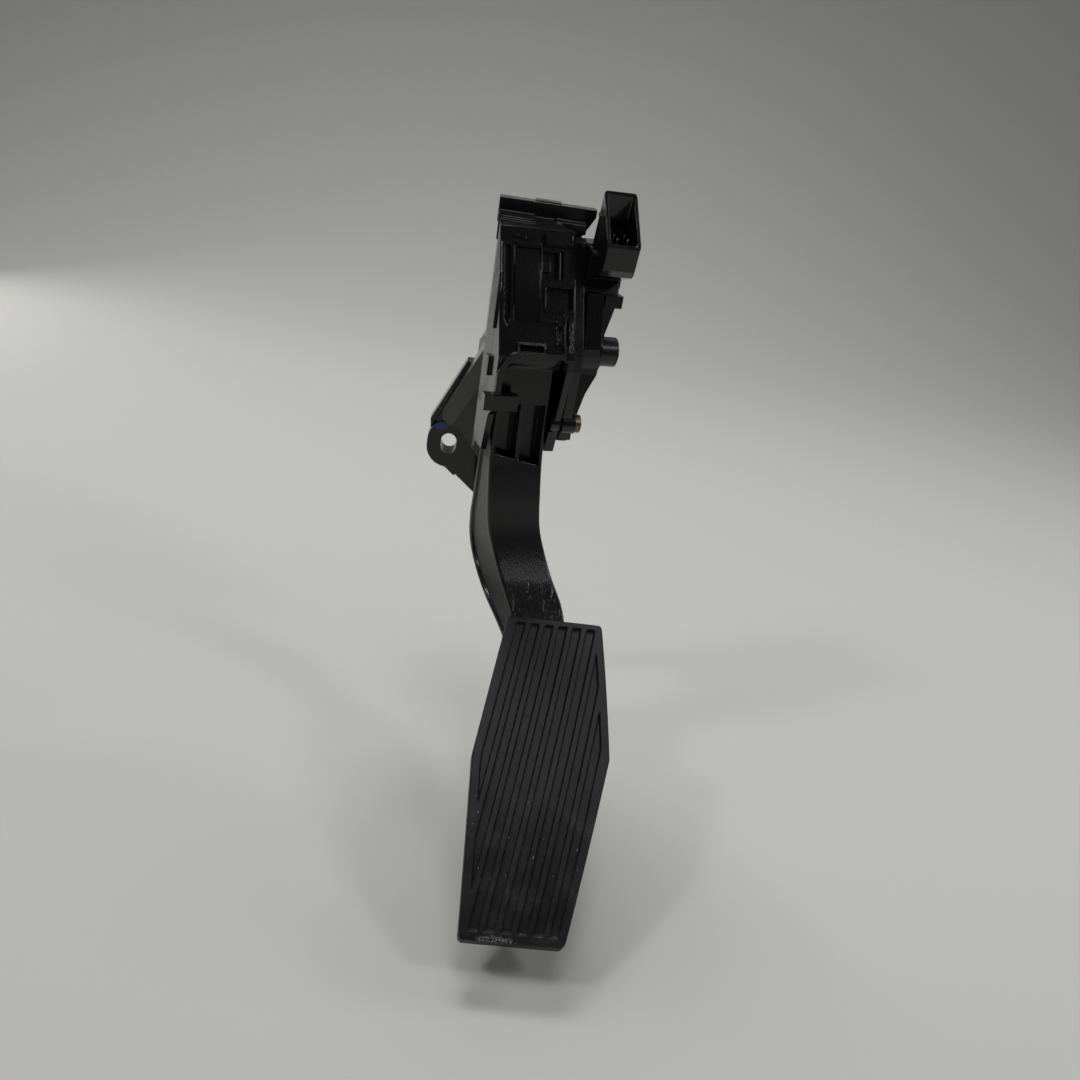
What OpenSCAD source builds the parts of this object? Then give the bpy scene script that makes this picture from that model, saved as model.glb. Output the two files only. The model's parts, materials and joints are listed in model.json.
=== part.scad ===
// Drive-by-wire accelerator pedal module in millimetres.
// Row frame: X to the driver's right, Y towards the bulkhead, Z up.
// The mounting face is the plane Y = 0 and the pivot is at height Z = 0.

/* [Stance] */
// Turn of the pedal body about the upright, seen from above, in degrees
body_yaw = 15; // [10:1:18]
// Distance from the mounting face to the pivot axis
pivot_forward = 45.5; // [44:0.5:52]
// Pivot centre to the left of the foot's centre line
pivot_left = 3.3; // [1:0.1:6]
// Turn of the pedal from idle to full travel, in degrees
pedal_travel = 16; // [12:1:18]

/* [Housing] */
// Left face of the housing from the pivot centre
housing_left = 15.5; // [15:0.5:18]
// Right face of the housing, where the sensor cover seats
housing_right = 16; // [16:0.5:18]
// Wall of the moulding
wall = 2.5; // [2:0.1:3]
// Front wall ahead of the pivot axis
front_reach = 17; // [16.5:0.5:19]
// Lean of the front wall, in degrees
front_lean = 25; // [20:1:28]
// Top of the housing above the pivot axis
housing_top = 46; // [44:0.5:50]
// Bottom of the right wall below the pivot axis
housing_drop = 42; // [38:0.5:44]
// Radius of the arch's upper corner
arch_r = 8; // [5:0.5:9]
// Proud rim round the arch
arch_lip = 2.4; // [1.5:0.1:3]
// Depth of the moulded recesses in the front wall
recess = 1.4; // [0.8:0.1:1.8]

/* [Mounting plate] */
// Thickness of the plate
plate_t = 4; // [3:0.1:5]
// Width of the foot at the top
foot_w = 41.3; // [38:0.1:44]
// Top of the foot above the pivot axis
foot_top = 52; // [50:0.5:56]
// Height of the foot
foot_h = 8; // [6:0.5:10]
// Depth of the foot from the mounting face
foot_t = 8; // [6:0.5:10]
// Fixing slot to the left of the foot's centre line
slot_left = 30; // [28:0.5:33]
// Fixing slot below the pivot axis
slot_drop = 58.6; // [56:0.1:62]
// Width of the fixing slot, for an M6 stud
slot_w = 7; // [6.4:0.1:7.6]
// Length of the fixing slot
slot_l = 10; // [8.5:0.5:12]
// Outer radius of the ear round the slot
ear_r = 9.8; // [9:0.1:11]
// Thickness of the ear at the slot
ear_t = 11; // [8:0.5:12]
// Thickness of the web between ear and housing
web_t = 7; // [5:0.5:9]

/* [Shaft and bushes] */
// Shaft diameter through the bushes
shaft_d = 10; // [8:0.1:11]
// Diameter of the shaft's outer stub
stub_d = 12.3; // [11.8:0.1:13]
// How far the stub stands out of the sensor cover
stub_out = 8.7; // [7:0.1:9]
// Wall of each bush
bush_wall = 1.5; // [1:0.1:2]
// Radial running clearance of the shaft
run_clear = 0.05; // [0.02:0.01:0.1]
// Gap between seated pieces
seat_gap = 0.05; // [0.02:0.01:0.1]
// Side clearance of the moving pieces
side_clear = 0.4; // [0.3:0.05:0.6]

/* [Pedal arm] */
// Width of the arm
arm_w = 23; // [20:0.5:23]
// Diameter of the arm's hub
hub_d = 23; // [20:0.5:24]
// Reach of the arm's tail behind the pivot axis
tail_l = 31; // [28:0.5:32]
// Thickness of the tail
tail_t = 8; // [6:0.5:9]
// Step from the arm's front bead to its side web
side_step = 0.9; // [0.5:0.1:1.4]
// Sideways drift of the arm from the pivot to the pad
arm_drift = 12; // [8:0.5:14]
// Depth of the channel in the arm's upper front
channel_depth = 7; // [4:0.5:9]
// Thickness of the channel's rims and middle rib
rim_t = 1.8; // [1.4:0.1:2.4]
// Thickness of the arm's front bead and back flange
bead_t = 2.8; // [2:0.1:4]

/* [Pad] */
// Length of the pad along its slope
pad_l = 130; // [120:1:140]
// Half width of the pad at its wide waist
pad_half_w = 26.6; // [24:0.2:29]
// Slope of the pad from the level, in degrees
pad_slope = 34.8; // [32:0.1:38]
// Radius of the pad's crowned face
crown_r = 260; // [220:5:320]
// Thickness of the tread
tread_t = 4.5; // [3.5:0.1:5.5]
// Depth of the pad's skirt below its face
skirt_h = 7; // [6.5:0.1:8]
// Wall of the pad's skirt
skirt_wall = 2.2; // [1.6:0.1:3]
// Number of grooves
groove_count = 9; // [5:1:9]
// Distance from groove to groove
groove_pitch = 5.9; // [5.2:0.1:6.2]
// Width of a groove
groove_w = 3.5; // [2.5:0.1:4]
// Depth of a groove
groove_depth = 1.3; // [0.8:0.1:2]
// Lean of the grooves to the right going up, in degrees
groove_lean = 9.4; // [7:0.05:11]
// Plain border left round the grooves
groove_border = 3.4; // [2.5:0.1:5]

/* [Springs] */
// Mean diameter of the outer spring
outer_coil_d = 15; // [14:0.1:16]
// Wire diameter of the outer spring
outer_wire_d = 2; // [1.6:0.1:2.2]
// Active turns of the outer spring
outer_turns = 5; // [4:0.5:6]
// Mean diameter of the inner spring
inner_coil_d = 9; // [8:0.1:9.6]
// Wire diameter of the inner spring
inner_wire_d = 1.4; // [1:0.1:1.6]
// Active turns of the inner spring
inner_turns = 7; // [5:0.5:8]
// Spring centre behind the pivot axis
spring_back = 21; // [20:0.5:22]

/* [Sensor cover] */
// Thickness of the seal under the cover
gasket_t = 0.8; // [0.5:0.1:1.2]
// Outer diameter of the boss round the shaft
boss_d = 19.5; // [18:0.1:21]
// Face of that boss from the pivot centre
boss_face = 30.2; // [29.5:0.1:32]
// Thickness of the circuit board
board_t = 1.6; // [1.2:0.1:1.8]
// Diameter of the rotor disc
rotor_d = 20; // [18:0.5:20.5]
// Thickness of the rotor disc
rotor_t = 2; // [1.6:0.1:2.4]
// Head diameter of the cover screws
screw_head_d = 7.6; // [6.5:0.1:8]
// Shank diameter of the cover screws
screw_d = 3.5; // [3:0.1:4]

/* [Connector] */
// Width of the connector's tower
mouth_w = 14; // [13:0.1:14.6]
// Depth of the tower from its front to its back
tower_d = 18.4; // [17:0.1:19]
// Lean of the tower towards the driver, in degrees
tower_lean = 11.5; // [8:0.5:14]
// Wall of the connector's shroud
shroud_wall = 1.3; // [1:0.1:1.6]
// Height of the socket's floor above the pivot axis
socket_floor = 41.5; // [41:0.1:42.5]
// Height of the mouth's front lip above the pivot axis
lip_low = 44.6; // [44:0.1:48]
// Height of the mouth's back lip above the pivot axis
lip_high = 63.8; // [60:0.1:66]
// Radius of the tower's upright corners
tower_r = 1.6; // [1:0.1:2]
// Distance between the two columns of pins
pin_across = 4.4; // [4:0.1:5]
// Distance between the three rows of pins
pin_pitch = 4.2; // [3.8:0.1:4.4]
// How far the pins stand above the socket's floor
pin_up = 7; // [5:0.5:8]
// Thickness of a pin
pin_t = 0.64; // [0.5:0.02:0.8]

/* [Hidden] */

$fn = 64;
eps = 0.01;
big = 400;
hinge_clear = 0.3;

// Colours of the finishes
housing_black = "#1b1c1e";
cover_black = "#222326";
arm_black = "#191a1b";
pad_black = "#26262a";
brass_yellow = "#b49a52";
steel_grey = "#8f9296";
board_green = "#1f5a3a";

// Radii
shaft_r = shaft_d / 2;
stub_r = stub_d / 2;
bush_r = shaft_r + run_clear + bush_wall;
hub_r = hub_d / 2;
boss_r = boss_d / 2;
rotor_r = rotor_d / 2;

// Sideways stations along the pivot axis
inner_left = -housing_left + wall;
inner_right = housing_right - wall;
lever_right = arm_w / 2 + side_clear + 0.1;
collar_end = inner_left + 3.2;
blind_end = -housing_left + 1.2;
arch_left = inner_left;
cover_in = housing_right + gasket_t;
rotor_x = cover_in + 0.6;
clip_x = rotor_x + rotor_t + 0.15;
clip_t = 0.9;
board_x = clip_x + clip_t + 0.6;
cover_step = board_x + board_t + 3;
flange_x = 20.6;
panel_left = 22;
panel_right = 29;
stub_start = board_x + board_t + 1;

// Moving mechanism behind the pivot
shoe_t = 3;
drum_r = tail_l + seat_gap + shoe_t + hinge_clear;
tail_top = tail_t / 2;
tail_room = tail_top + 5.4;
seat_t = 1.6;
roof = housing_top - wall - 1;
cap_t = 1.5;
spring_base = tail_top + seat_t;
spring_height = roof - cap_t - spring_base;
arm_back = 7;
pad_reach = 38 + pad_l * 0.57;
stop_low = 31.5;
stop_t = 2.6;
stop_h = 5;
stop_half = 6;
stop_face = (arm_back + stop_low * sin(pedal_travel)) / cos(pedal_travel) + hinge_clear;
chamber_back = spring_back + outer_coil_d / 2 + outer_wire_d / 2 + 1;
tail_left = -4;
tail_right = inner_right - 1.1;
spring_x = (tail_left + tail_right) / 2;
plate_left = -foot_w / 2 + 1;

// Side outline of the housing, as points (back from the pivot axis, up)
front_top_y = -front_reach + tan(front_lean) * housing_top;
housing_side = [[front_top_y, housing_top], [-front_reach, 0], [-front_reach, -5],
                [-front_reach + 4.5, -26], [-front_reach + 8.5, -housing_drop],
                [8, -housing_drop], [20, -27], [70, -27], [70, housing_top]];

// Places of the cover screws on the side of the housing (back, up)
screw_spots = [[-9.2, -29], [32, -18], [31, 33.5]];
screw_posts_from = [lever_right + 0.2, 7, 10.4];
post_r = screw_d / 2 + 1.7;
head_x = 22.6;

// Cover of the spring chamber in the front wall's plane (across, up the slope)
chamber_lid = [[-9.4, 14], [1, 14], [1, 43.2], [-9.4, 43.2]];
lid_ledge = 1.6;
lid_crown = 0.8;
lid_r = 70;

// Outlines of the sensor cover and of the room inside it (back, up)
cover_side = [[front_top_y + 0.6, 42], [-front_reach + 3.2, 1], [-front_reach + 3, -6],
              [-front_reach + 4.6, -25], [-front_reach + 7, -36.5], [-2, -38.5], [16, -24],
              [37.5, -24], [37.5, 36.5], [29, 38.8], [20, 42]];
cover_front = [[cover_in, -60], [22.6, -60], [22.6, -29], [23.9, -24], [26, -16], [29.8, -8],
               [30.4, 9], [33.5, 16], [36, 22], [36.6, 30], [36.6, 60], [cover_in, 60]];
cover_body = [[front_top_y + 2.6, 42], [-0.8, 24.4], [-8.2, 8], [-8.2, -8], [-9.4, -25],
              [-9, -36.5], [-2, -38.5], [16, -24], [37.5, -24], [37.5, 36.5], [29, 38.8], [20, 42]];
room_side = [[3.5, 29], [-5.6, 9], [-6.4, 5], [-6.4, -rotor_r - 0.8], [14, -rotor_r - 0.8],
             [31, -8], [31, 12], [21, 39.5], [8.5, 39.5]];
board_posts = [[26, -4], [16, 31], [-3, -9]];

// Metal loops on the rotor
loop_at = (shaft_r + rotor_r) / 2;
loop_r = (rotor_r - shaft_r) / 2 - 0.6;
loop_wire = 0.8;
loop_t = 0.5;

// Centre of the socket's floor in the body's frame
socket_at = [30.3, -4, socket_floor];
pin_foot = 37;
pin_level = 1.9;
foot_back = 8;

// Stations down the arm: front edge and rear edge (back, up), then the drift to the right
// of the front and of the rear, and the half width
arm_front = [[-9.3, 0], [-9.3, -38], [-12, -62], [-12.6, -76], [-15.4, -86], [-21.5, -95],
             [-33.2, -105.5], [-46, -116], [-62, -126], [-pad_reach, -155]];
arm_rear = [[arm_back, 0], [arm_back, -40], [8.6, -68], [10.9, -80], [10, -90], [3.5, -98.5],
            [-12, -107], [-30, -120], [-52, -134], [-pad_reach, -163]];
arm_half = arm_w / 2;
arm_sides = [[0, 0, arm_half], [0, 0, arm_half], [0.1, 0, arm_half], [0.26, 0.04, arm_half],
             [0.49, 0.1, arm_half], [0.72, 0.2, arm_half],
             [1, 0.37, arm_half], [1.05, 0.7, arm_half - 2], [0.9, 0.8, arm_half - 3.5],
             [-0.3, -0.3, arm_half - 3.5]];
bend_steps = 4;

// Pad placement in the row frame
pad_top = [24.2, -81.1, -104.9];
pad_outline = [[-20.3, 0], [-pad_half_w - 3.4, -pad_l * 0.492], [-28.2, -pad_l], [10.3, -pad_l],
               [pad_half_w - 3.4, -pad_l * 0.469], [19.6, 0]];
crown_sag = crown_r - sqrt(crown_r * crown_r - pad_l * pad_l / 4);

// Frames and profiles

module body_frame() {
    translate([-pivot_left, -pivot_forward, 0]) rotate([0, 0, body_yaw]) children();
}

module pad_frame() {
    translate(pad_top) rotate([pad_slope, 0, 0]) children();
}

// Extrudes a side outline (back, up) from x0 to x1
module along_x(x0, x1) {
    translate([x0, 0, 0]) rotate([90, 0, 90]) linear_extrude(x1 - x0) children();
}

// Extrudes a front outline (across, up) from y0 back to y1
module along_y(y0, y1) {
    translate([0, y1, 0]) rotate([90, 0, 0]) linear_extrude(y1 - y0) children();
}

// A cylinder along X from x0 to x1 at a point (back, up)
module x_cylinder(r, x0, x1, at = [0, 0]) {
    translate([x0, at[0], at[1]]) rotate([0, 90, 0]) cylinder(r = r, h = x1 - x0);
}

// A box given by its two corners
module span(low, high) {
    translate(low) cube(high - low);
}

// The front wall's own plane: X across, Y up the slope, Z outward
module on_front() {
    translate([0, -front_reach, 0]) rotate([90 - front_lean, 0, 0]) children();
}

// The connector's own frame, on the socket's floor: X across, Z up the leaning tower
module connector_frame() {
    translate(socket_at) rotate([tower_lean, 0, 0]) children();
}

function cross2(a, b) = a[0] * b[1] - a[1] * b[0];

// Moves each side of a counter-clockwise outline inwards by d
function inset(points, d) = let (n = len(points)) [
    for (i = [0 : n - 1])
        let (a = points[(i + n - 1) % n], b = points[i], c = points[(i + 1) % n],
             u = (b - a) / norm(b - a), v = (c - b) / norm(c - b))
        b + d * (v - u) / cross2(u, v)
];

// Housing

module housing_block() {
    intersection() {
        body_frame() along_x(-housing_left, housing_right) polygon(housing_side);
        span([plate_left, -big, -big], [big, 0, big]);
    }
}

// The plate's outline (across, up) from the foot down to the ear's tip
module plate_outline() {
    polygon([[plate_left, foot_top - foot_h], [plate_left, -7],
             [-slot_left - ear_r + 0.4, -slot_drop + 9.8], [-slot_left - 7.6, -slot_drop - 7],
             [-15.4, -84], [-9, -84], [-2, -66], [14, -30],
             [15.5, foot_top - foot_h - 4], [15.5, foot_top - foot_h]]);
}

module ear() {
    translate([-slot_left, 0, -slot_drop]) rotate([90, 0, 0]) {
        for (end = [-1, 1])
            translate([0, end * (slot_l - slot_w) / 2, 0]) cylinder(r = ear_r, h = ear_t);
        translate([-ear_r, -(slot_l - slot_w) / 2, 0]) cube([2 * ear_r, slot_l - slot_w, ear_t]);
    }
}

module ear_slot() {
    translate([-slot_left, 0, -slot_drop]) rotate([90, 0, 0])
        for (end = [-1, 1])
            translate([0, end * (slot_l - slot_w) / 2, -1]) cylinder(d = slot_w, h = ear_t + 2);
    span([-slot_left - slot_w / 2, -ear_t - 1, -slot_drop - (slot_l - slot_w) / 2],
         [-slot_left + slot_w / 2, 1, -slot_drop + (slot_l - slot_w) / 2]);
}

module foot() {
    // Main bar, with a slanted lower right end
    rotate([90, 0, 0]) linear_extrude(foot_t)
        polygon([[-foot_w / 2, foot_top], [-foot_w / 2, foot_top - foot_h - 2],
                 [15.3, foot_top - foot_h - 4.4], [foot_w / 2, foot_top - 3],
                 [foot_w / 2, foot_top]]);
    // Middle pad of the lip stands a little higher
    span([-5.5, -foot_t + 1.2, foot_top - 3], [5.5, 0, foot_top + 0.7]);
    // Terraces stepping down to the front wall
    intersection() {
        union() {
            span([-foot_w / 2, -24, housing_top - 9], [-5, -foot_t, housing_top + 0.8]);
            span([-5, -20, housing_top - 9], [4, -foot_t, housing_top - 1.6]);
            span([4, -17, housing_top - 3.4], [16.5, -foot_t, housing_top + 0.4]);
        }
        span([-foot_w / 2 + 0.4, -big, 0], [big, 0, big]);
    }
}

// Left wall running down and back from the lever opening to the ear
module left_gusset() {
    intersection() {
        body_frame() along_x(-housing_left, -housing_left + wall + 0.6)
            polygon([[-front_reach, 0], [-front_reach, -16], [-front_reach + 1, -23],
                     [-11.6, -26.3], [9.2, -45], [30, -66], [70, -74], [70, 0]]);
        span([plate_left, -big, -big], [big, 0, big]);
    }
}

// Wedge that thickens the web from the ear up to the left wall
module ear_web() {
    intersection() {
        rotate([90, 0, 0]) linear_extrude(60)
            polygon([[plate_left, -9], [-slot_left - ear_r + 3, -slot_drop + 9.4],
                     [-slot_left + 4, -slot_drop + 9.4], [-slot_left + 8.4, -slot_drop + 2],
                     [-15, -66], [-12, -60], [-12, -9]]);
        translate([0, 0, -90]) linear_extrude(90)
            polygon([[-48, 0], [-42, -web_t], [-34, -9.4], [plate_left, -26], [-12, -28], [-12, 0]]);
        along_x(-60, 0)
            polygon([[0, 0], [-30, 0], [-28, -22], [-web_t, -64], [-web_t, -90], [0, -90]]);
    }
}

// Cross lug ahead of the lever on the left, which carries the idle stop
module idle_lug() {
    body_frame() along_x(-housing_left - 3.6, -5.2)
        polygon([[-front_reach - 0.6, -16], [-12.6, -16], [-12.6, -23.2], [-front_reach - 0.6, -22.4]]);
}

// Side outline of the room that the lever and the springs work in
module mechanism_room() {
    difference() {
        union() {
            circle(r = drum_r, $fn = 96);
            polygon([[4, 0], [chamber_back, 0], [chamber_back, roof], [4, roof]]);
        }
        // Front wall of the housing above the arch
        polygon([[-front_reach - 20, -1.2],
                 [-front_reach + wall / cos(front_lean), -1.2],
                 [-front_reach + wall / cos(front_lean) + tan(front_lean) * 60, 60], [-60, 60]]);
        // Floor below the tail
        polygon([[12, -tail_room], [60, -tail_room], [60, -60], [12, -60]]);
    }
}

// Back of the arm's upper part at full travel, at a height below the axis
function back_at(z) = (arm_back - z * sin(pedal_travel)) / cos(pedal_travel) + 2 * hinge_clear;

module lever_opening() {
    body_frame() {
        // Arched mouth in the front wall
        along_y(-40, -hub_r + 4) {
            translate([arch_left + arch_r, -arch_r]) circle(r = arch_r);
            polygon([[arch_left, -arch_r], [arch_left, -60], [lever_right, -60], [lever_right, 0],
                     [arch_left + arch_r, 0]]);
        }
        // Way out for the arm below and behind the axis
        along_x(inner_left, lever_right)
            polygon([[-40, -1.2], [12, -1.2], [12, -10], [back_at(-27), -27], [back_at(-60), -60],
                     [-40, -60]]);
        x_cylinder(hub_r + 0.6, inner_left, inner_right);
    }
}

// Raised rim that follows the arch
module arch_rim() {
    body_frame() intersection() {
        along_y(-front_reach - 1.2, -front_reach + 2.6) difference() {
            union() {
                translate([arch_left + arch_r, -arch_r]) circle(r = arch_r + arch_lip);
                polygon([[arch_left - arch_lip, -arch_r], [arch_left - arch_lip, -15],
                         [lever_right, -15], [lever_right, arch_lip], [arch_left + arch_r, arch_lip]]);
            }
            translate([arch_left + arch_r, -arch_r]) circle(r = arch_r);
            polygon([[arch_left, -arch_r], [arch_left, -60], [60, -60], [60, 0],
                     [arch_left + arch_r, 0]]);
        }
        span([-60, -60, -15], [lever_right, 60, 20]);
    }
}

// Recesses, frames and ledges of the sloping front wall
module front_recesses() {
    body_frame() on_front() {
        // Narrow pocket on the left with a pointed lower end
        translate([0, 0, -recess]) linear_extrude(recess + 5)
            polygon([[-13.5, 43.5], [-13.5, 15], [-12.2, 12], [-11, 15], [-11, 43.5]]);
        // C-shaped window with its tongue
        difference() {
            span([1.9, 31.4, -recess - 0.6], [8.6, 42.2, 5]);
            span([1.9, 34.2, -5], [5.6, 38.6, -0.5]);
        }
        // Square snap pocket
        span([3.4, 19.6, -recess], [14.6, 28, 5]);
        // Slot between snap pocket and window
        span([9.6, 31.6, -recess], [10.8, 42.6, 5]);
        // Small framed window above the arch
        span([-7.2, 1.6, -recess], [2.8, 4.6, 5]);
        // Two upright channels beside the seam
        span([8.6, 4.8, -0.7], [10.6, 12.6, 5]);
        span([12.2, 4.8, -0.7], [13.2, 16.6, 5]);
    }
}

module front_trim() {
    body_frame() on_front() {
        // Frame round the snap pocket
        difference() {
            span([2.6, 18.8, -1], [15.4, 28.8, 0.7]);
            span([3.4, 19.6, -2], [14.6, 28, 2]);
        }
        // Stepped ledges below it
        span([0.9, 14.4, -1], [8.2, 15.4, 1]);
        span([8.2, 13.4, -1], [11.4, 16.6, 0.6]);
        // Frame of the small window
        difference() {
            span([-8.2, 0.8, -1], [3.6, 5.4, 0.7]);
            span([-7.2, 1.6, -2], [2.8, 4.6, 2]);
        }
        // Grey rounded block at the top right
        span([2.8, 44.6, -1], [14.2, 49, 1.8]);
        // Bars of the lipped top
        span([-9.4, 44.2, -1], [1.2, 45.2, 0.8]);
        span([-9.4, 46.6, -1], [-5, 47.6, 0.8]);
        // Ribs beside the upright channels
        span([11, 2, -1], [11.8, 17.4, 1]);
    }
}

// Catch and slot on the left face of the housing
module left_catch() {
    body_frame() {
        span([-housing_left - 1.2, -7.4, -11], [-housing_left + eps, -2.6, -3.2]);
        span([-housing_left - 0.8, -6.6, 8], [-housing_left + eps, -5, 30]);
    }
}

// Posts that take the cover screws
module screw_posts() {
    body_frame() for (i = [0 : len(screw_spots) - 1])
        x_cylinder(post_r, screw_posts_from[i], housing_right, screw_spots[i]);
}

module screw_holes() {
    body_frame() for (i = [0 : len(screw_spots) - 1])
        x_cylinder(screw_d / 2 + seat_gap, screw_posts_from[i] + 0.8, housing_right + 1, screw_spots[i]);
}

// Pockets in the back of the housing between its ribs
module back_pockets() {
    floor_y = drum_r + wall;
    body_frame() for (left = [-12.4, -3.4, 5.6])
        span([left, floor_y, -20], [left + 6.4, big / 4, 30]);
}

// Rounded lightening pocket and step on the web above the ear
module web_pocket() {
    translate([-24.4, -web_t - 1, -33.4]) rotate([0, 9, 0]) {
        span([-1.9, 0, -9], [1.9, 3.6, 3]);
        translate([0, 3.6, 3]) rotate([90, 0, 0]) cylinder(r = 1.9, h = 3.6);
        translate([0, 3.6, -9]) rotate([90, 0, 0]) cylinder(r = 1.9, h = 3.6);
    }
}

module mounting_plate() {
    rotate([90, 0, 0]) linear_extrude(plate_t) plate_outline();
    // Thicker web from the housing to the ear
    rotate([90, 0, 0]) linear_extrude(web_t)
        polygon([[plate_left, -7], [-slot_left - ear_r + 0.4, -slot_drop + 9.8],
                 [-slot_left - 7.6, -slot_drop - 7], [-26, -75.4], [-18, -62], [-14, -30], [-14, -7]]);
    ear();
    foot();
}

module housing() {
    color(housing_black) difference() {
        union() {
            difference() {
                union() {
                    housing_block();
                    mounting_plate();
                    left_gusset();
                    ear_web();
                    front_trim();
                    left_catch();
                }
                intersection() {
                    body_frame() along_x(inner_left, inner_right) mechanism_room();
                    span([plate_left + wall, -big, -big], [big, big, big]);
                }
                lever_opening();
                front_recesses();
                back_pockets();
                web_pocket();
            }
            arch_rim();
            idle_lug();
            intersection() {
                union() {
                    full_stop_bracket();
                    tail_floor();
                }
                span([plate_left, -big, -big], [big, big, big]);
            }
            screw_posts();
            // Bearing collars of both side walls
            intersection() {
                body_frame() x_cylinder(bush_r + 2, -housing_left, collar_end);
                span([plate_left, -big, -big], [big, big, big]);
            }
            body_frame() x_cylinder(bush_r + 2, inner_right, housing_right);
        }
        ear_slot();
        screw_holes();
        spring_cover_seat();
        full_stop_seat();
        // Seats of the bushes
        body_frame() x_cylinder(bush_r + seat_gap, blind_end, collar_end + 1);
        body_frame() x_cylinder(bush_r + seat_gap, inner_right - 1, housing_right + 1);
        // Nothing reaches behind the mounting face
        span([-big, 0, -big], [big, big, big]);
    }
}

// Floor of the room below the tail
module tail_floor() {
    body_frame() along_x(inner_left - eps, inner_right + eps)
        polygon([[13, -tail_room - 1], [chamber_back, -tail_room - 1],
                 [chamber_back, -tail_room], [13, -tail_room]]);
}

// Lower cross wall behind the arm, which carries the full-travel stop
module full_stop_bracket() {
    body_frame() along_x(inner_left - eps, inner_right + eps)
        polygon([[stop_face + stop_t, -stop_low - 1], [stop_face + stop_t + wall, -stop_low - 1],
                 [stop_face + 10, -26], [stop_face + 10, -22], [stop_face + stop_t, -22]]);
}

// Pocket in that wall for the stop
module full_stop_seat() {
    body_frame() span([-stop_half - seat_gap, stop_face - 6, -stop_low - seat_gap],
                      [stop_half + seat_gap, stop_face + stop_t, -stop_low + stop_h + seat_gap]);
}

// Outline of the spring chamber's cover, from a depth below the front wall outwards
module lid_outline(grow, low) {
    translate([0, 0, low]) linear_extrude(10 - low) polygon(inset(chamber_lid, -grow));
}

module spring_cover_seat() {
    body_frame() on_front() {
        lid_outline(seat_gap, -lid_ledge);
        lid_outline(-lid_ledge, -wall - 2);
    }
}

module spring_cover() {
    color(cover_black) body_frame() on_front() intersection() {
        lid_outline(0, -lid_ledge + seat_gap);
        translate([-20, (chamber_lid[0][1] + chamber_lid[2][1]) / 2, lid_crown - lid_r]) rotate([0, 90, 0])
            cylinder(r = lid_r, h = 40, $fn = 200);
    }
}

// Bushes and shaft

module bush_left() {
    color(steel_grey) body_frame() difference() {
        x_cylinder(bush_r, blind_end + seat_gap, collar_end);
        x_cylinder(shaft_r + run_clear, blind_end - 1, collar_end + 1);
    }
}

module bush_right() {
    color(steel_grey) body_frame() difference() {
        x_cylinder(bush_r, inner_right, housing_right);
        x_cylinder(shaft_r + run_clear, inner_right - 1, housing_right + 1);
    }
}

// Groove for the clip, just outside the rotor
module clip_groove(gap) {
    x_cylinder(shaft_r + 4, clip_x - gap, clip_x + clip_t + gap);
}

module pivot_shaft() {
    color(cover_black) body_frame() difference() {
        union() {
            x_cylinder(shaft_r, blind_end + 3 * seat_gap, stub_start);
            x_cylinder(stub_r, stub_start, boss_face + stub_out);
        }
        difference() {
            clip_groove(seat_gap);
            x_cylinder(shaft_r - 1, clip_x - 2, clip_x + 3);
        }
        // Hollow in the outer end
        x_cylinder(stub_r - 2.2, boss_face + stub_out - 5, boss_face + stub_out + 1);
    }
}

// Open ring that snaps into the shaft's groove and holds the rotor on
module shaft_clip() {
    color(steel_grey) body_frame() difference() {
        x_cylinder(shaft_r + 1.8, clip_x, clip_x + clip_t);
        x_cylinder(shaft_r - 1 + seat_gap, clip_x - 1, clip_x + 2);
        span([clip_x - 1, -shaft_r + 1.6, -shaft_r - 4], [clip_x + 2, shaft_r - 1.6, 0]);
    }
}

// Pedal arm

// Smooth curve through a list of points, at t counted in points from the first
function curve(points, t) =
    let (last = len(points) - 1, i = min(floor(t), last - 1), u = t - i,
         a = points[max(i - 1, 0)], b = points[i], c = points[i + 1], d = points[min(i + 2, last)])
    b + u / 2 * (c - a) + u * u / 2 * (2 * a - 5 * b + 4 * c - d) + u * u * u / 2 * (3 * b - a - 3 * c + d);

// A point of the arm's section: a depth from the front edge, or from the rear edge below zero
function section_point(f, r, s, side, depth, step) =
    let (a = (depth < 0 ? norm(r - f) + depth : depth) / norm(r - f), p = f + a * (r - f))
    [arm_drift * (s[0] + a * (s[1] - s[0])) + side * (s[2] - step), p[0], p[1]];

// Twelve corners of the section at a station: front bead, web stepped in, back flange
function section(t) =
    let (f = curve(arm_front, t), r = curve(arm_rear, t), s = curve(arm_sides, t), deep = norm(r - f),
         edge = [[0, 0], [bead_t, 0], [bead_t, side_step], [-bead_t, side_step], [-bead_t, 0], [deep, 0]])
    concat([section_point(f, r, s, -1, 0, 0)],
           [for (e = edge) section_point(f, r, s, 1, e[0], e[1])],
           [for (k = [5 : -1 : 1]) section_point(f, r, s, -1, edge[k][0], edge[k][1])]);

// The arm's beam, lofted through all the stations
module arm_beam() {
    count = (len(arm_front) - 1) * bend_steps;
    points = [for (i = [0 : count]) each section(i / bend_steps)];
    skin = [for (i = [0 : count - 1], k = [0 : 11], half = [0, 1])
        let (a = 12 * i + k, b = 12 * i + (k + 1) % 12) half == 0 ? [a, b, b + 12] : [a, b + 12, a + 12]];
    cap = [[0, 1, 2], [0, 2, 3], [0, 3, 10], [0, 10, 11], [10, 3, 4], [10, 4, 9],
           [6, 7, 8], [6, 8, 9], [6, 9, 4], [6, 4, 5]];
    polyhedron(points, concat(skin, [for (c = cap) [c[2], c[1], c[0]]],
                              [for (c = cap) [for (v = c) v + 12 * count]]));
}

// Barrel that gives the pad its crowned face and the surfaces below it
module crown(r) {
    translate([-80, -pad_l / 2, crown_sag - crown_r]) rotate([0, 90, 0])
        cylinder(r = r, h = 160, $fn = 360);
}

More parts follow.
